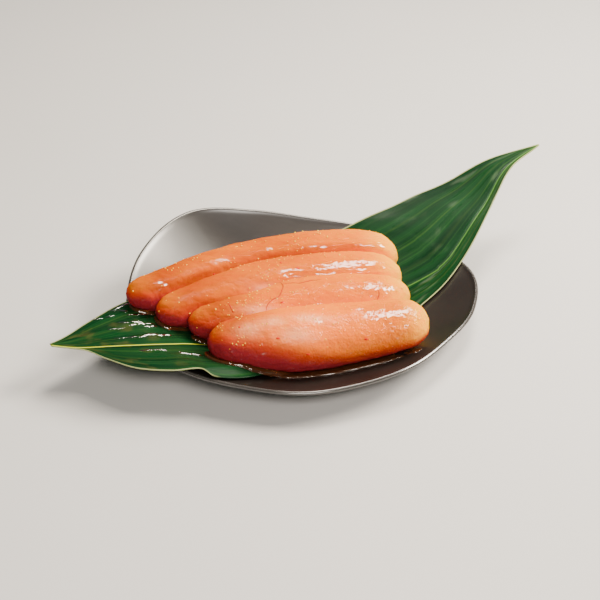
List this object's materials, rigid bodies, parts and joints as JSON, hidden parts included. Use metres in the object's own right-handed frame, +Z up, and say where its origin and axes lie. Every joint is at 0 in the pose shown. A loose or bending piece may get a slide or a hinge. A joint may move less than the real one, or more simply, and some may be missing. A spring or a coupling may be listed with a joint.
{
  "type": "mentaiko",
  "caption": "Whole lobes of seasoned salted roe lying side by side on a broad green leaf in a shallow dark glazed dish with one side pulled up into a lip.",
  "frame": {"origin": "centre of the dish's foot, on the surface it stands on", "axes": "+Z up; +X to the right along the lobes, seen from the front; +Y to the back, where the dish's raised lip is"},
  "size_m": [0.2786, 0.2014, 0.0592],
  "materials": {
    "glaze": "satin black glaze with a pewter sheen",
    "leaf": "waxy green leaf, wet and glossy",
    "roe": "moist translucent salmon-orange membrane",
    "seasoning": "thin reddish-brown seasoning liquid",
    "spice": "chilli grains and flakes"
  },
  "bodies": {
    "root": {"dish": "glaze", "leaf": "leaf", "roe_lobe_1": "roe", "roe_lobe_2": "roe", "roe_lobe_3": "roe", "roe_lobe_4": "roe"}
  },
  "joints": []
}
